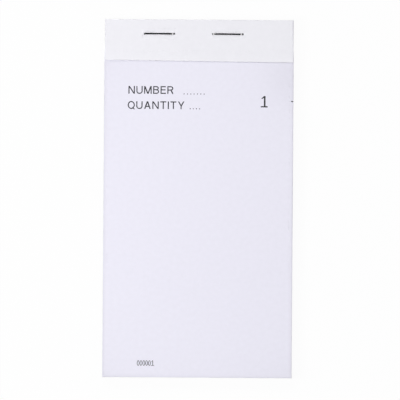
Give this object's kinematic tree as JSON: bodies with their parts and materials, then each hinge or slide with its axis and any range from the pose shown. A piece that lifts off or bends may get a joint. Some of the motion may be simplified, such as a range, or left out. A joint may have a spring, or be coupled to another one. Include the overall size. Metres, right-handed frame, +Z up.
{
  "type": "carbonless order pad",
  "caption": "Stitched pocket order pad of numbered carbonless duplicate sets with a card binding strip, a backing board and tear-off leaves that lift at the tear line.",
  "frame": {"origin": "middle of the back of the backing board, on the surface that the pad lies on", "axes": "+X to the right of the page, +Y along the page towards the stitched head, +Z up out of the page"},
  "size_m": [0.09, 0.17, 0.0093],
  "materials": {
    "original_paper": "smooth uncoated white paper",
    "copy_paper": "smooth uncoated pale blue paper",
    "set_paper": "guillotined edges of white and pale blue paper",
    "strip_card": "smooth white card",
    "backing_board": "uncoated grey board",
    "stitch_wire": "dark drawn steel wire"
  },
  "bodies": {
    "pad": {"backing_board": "backing_board", "binding_strip": "strip_card", "stitch_left": "stitch_wire", "stitch_right": "stitch_wire", "original_stub": "original_paper", "copy_stub": "copy_paper", "set_02": "set_paper", "set_03": "set_paper", "set_04": "set_paper", "set_05": "set_paper", "set_06": "set_paper", "set_07": "set_paper", "set_08": "set_paper", "set_09": "set_paper", "set_10": "set_paper", "set_11": "set_paper", "set_12": "set_paper", "set_13": "set_paper", "set_14": "set_paper", "set_15": "set_paper", "set_16": "set_paper", "set_17": "set_paper", "set_18": "set_paper", "set_19": "set_paper", "set_20": "set_paper", "set_21": "set_paper", "set_22": "set_paper", "set_23": "set_paper", "set_24": "set_paper", "set_25": "set_paper", "set_26": "set_paper", "set_27": "set_paper", "set_28": "set_paper", "set_29": "set_paper", "set_30": "set_paper", "set_31": "set_paper", "set_32": "set_paper", "set_33": "set_paper", "set_34": "set_paper", "set_35": "set_paper", "set_36": "set_paper", "set_37": "set_paper", "set_38": "set_paper", "set_39": "set_paper", "set_40": "set_paper", "set_41": "set_paper", "set_42": "set_paper", "set_43": "set_paper", "set_44": "set_paper", "set_45": "set_paper", "set_46": "set_paper", "set_47": "set_paper", "set_48": "set_paper", "set_49": "set_paper", "set_50": "set_paper"},
    "copy_leaf": {"copy_leaf": "copy_paper"},
    "original_leaf": {"original_leaf": "original_paper"}
  },
  "joints": [
    {"name": "copy_leaf_turn", "type": "hinge", "parent": "pad", "child": "copy_leaf", "pos_m": [0, 0.0648, 0.0086], "axis": [-1, 0, 0], "range_deg": [0, 88]},
    {"name": "original_leaf_turn", "type": "hinge", "parent": "copy_leaf", "child": "original_leaf", "pos_m": [0, 0.0648, 0.0086], "axis": [-1, 0, 0], "range_deg": [0, 88]}
  ]
}
